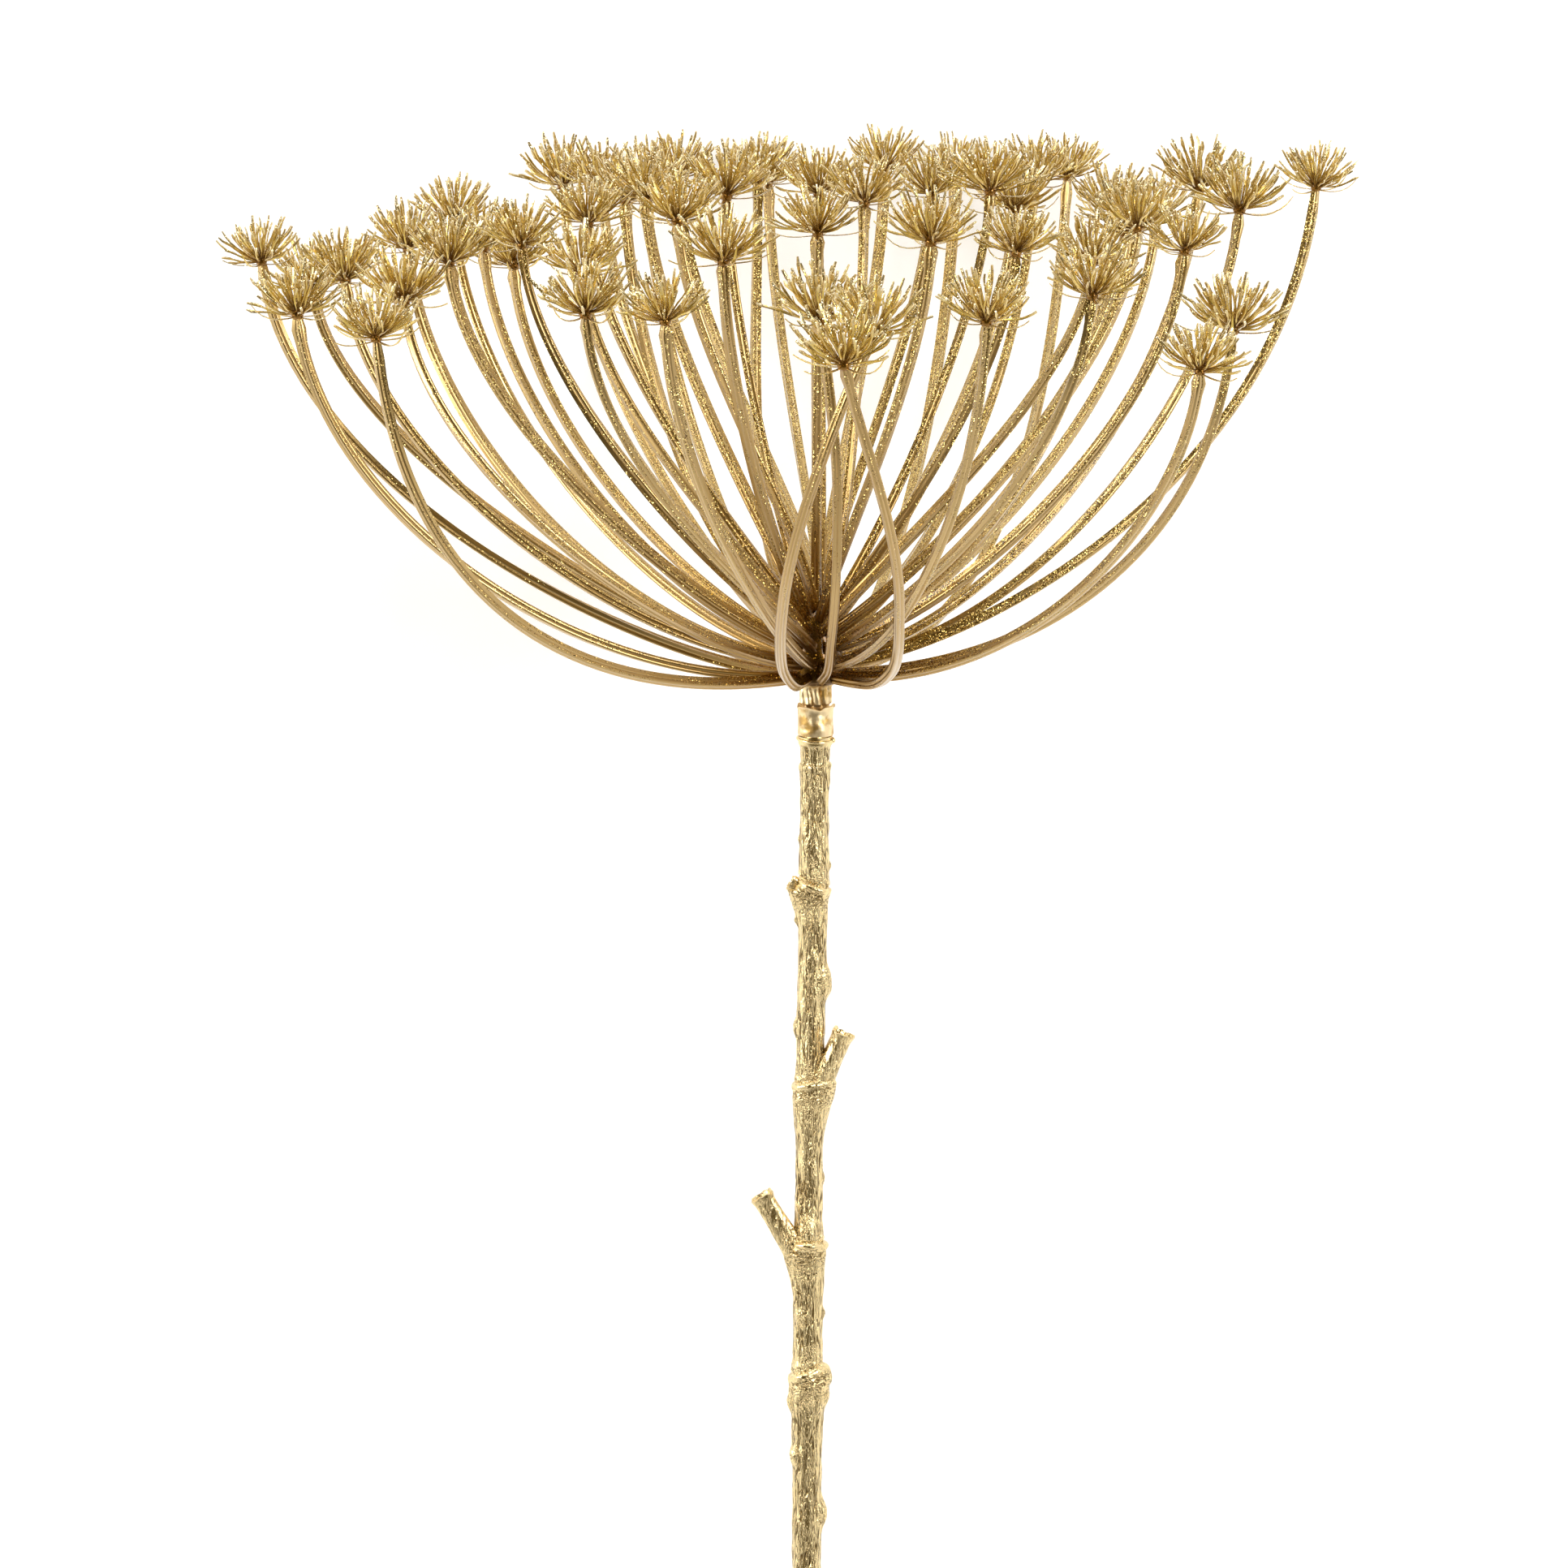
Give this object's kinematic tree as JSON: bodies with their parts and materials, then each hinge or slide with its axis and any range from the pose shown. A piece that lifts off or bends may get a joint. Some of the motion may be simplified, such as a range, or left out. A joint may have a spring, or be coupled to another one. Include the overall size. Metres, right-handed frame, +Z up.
{
  "type": "artificial queen annes lace flower",
  "caption": "Long gilded umbel flower for arranging, lying down: a bark-textured stem with cut side shoots, a smooth ferrule, and curved glittery rays that fan out to brush-like heads.",
  "frame": {"origin": "centre of the bounding box in plan, on the surface that the flower lies on", "axes": "+Y along the stem towards the umbel, +X to the right seen from above, +Z up; the stem rises about 10 degrees from its cut end to the umbel"},
  "size_m": [0.2832, 0.7318, 0.2658],
  "materials": {
    "bark_gold": "gloss",
    "sleeve_gold": "gloss",
    "hub_gold": "satin",
    "glitter_gold": "satin"
  },
  "bodies": {
    "root": {"twig": "bark_gold", "ferrule": "sleeve_gold", "hub": "hub_gold", "umbellet_01": "glitter_gold", "umbellet_02": "glitter_gold", "umbellet_03": "glitter_gold", "umbellet_04": "glitter_gold", "umbellet_05": "glitter_gold", "umbellet_06": "glitter_gold", "umbellet_07": "glitter_gold", "umbellet_08": "glitter_gold", "umbellet_09": "glitter_gold", "umbellet_10": "glitter_gold", "umbellet_11": "glitter_gold", "umbellet_12": "glitter_gold", "umbellet_13": "glitter_gold", "umbellet_14": "glitter_gold", "umbellet_15": "glitter_gold", "umbellet_16": "glitter_gold", "umbellet_17": "glitter_gold", "umbellet_18": "glitter_gold", "umbellet_19": "glitter_gold", "umbellet_20": "glitter_gold", "umbellet_21": "glitter_gold", "umbellet_22": "glitter_gold", "umbellet_23": "glitter_gold", "umbellet_24": "glitter_gold", "umbellet_25": "glitter_gold", "umbellet_26": "glitter_gold", "umbellet_27": "glitter_gold", "umbellet_28": "glitter_gold", "umbellet_29": "glitter_gold", "umbellet_30": "glitter_gold", "umbellet_31": "glitter_gold", "umbellet_32": "glitter_gold", "umbellet_33": "glitter_gold", "umbellet_34": "glitter_gold", "umbellet_35": "glitter_gold", "umbellet_36": "glitter_gold", "umbellet_37": "glitter_gold", "umbellet_38": "glitter_gold", "umbellet_39": "glitter_gold", "umbellet_40": "glitter_gold", "umbellet_41": "glitter_gold", "umbellet_42": "glitter_gold", "umbellet_43": "glitter_gold", "umbellet_44": "glitter_gold", "umbellet_45": "glitter_gold", "umbellet_46": "glitter_gold", "umbellet_47": "glitter_gold", "umbellet_48": "glitter_gold", "umbellet_49": "glitter_gold", "umbellet_50": "glitter_gold", "umbellet_51": "glitter_gold", "umbellet_52": "glitter_gold", "umbellet_53": "glitter_gold", "umbellet_54": "glitter_gold", "umbellet_55": "glitter_gold"}
  },
  "joints": []
}
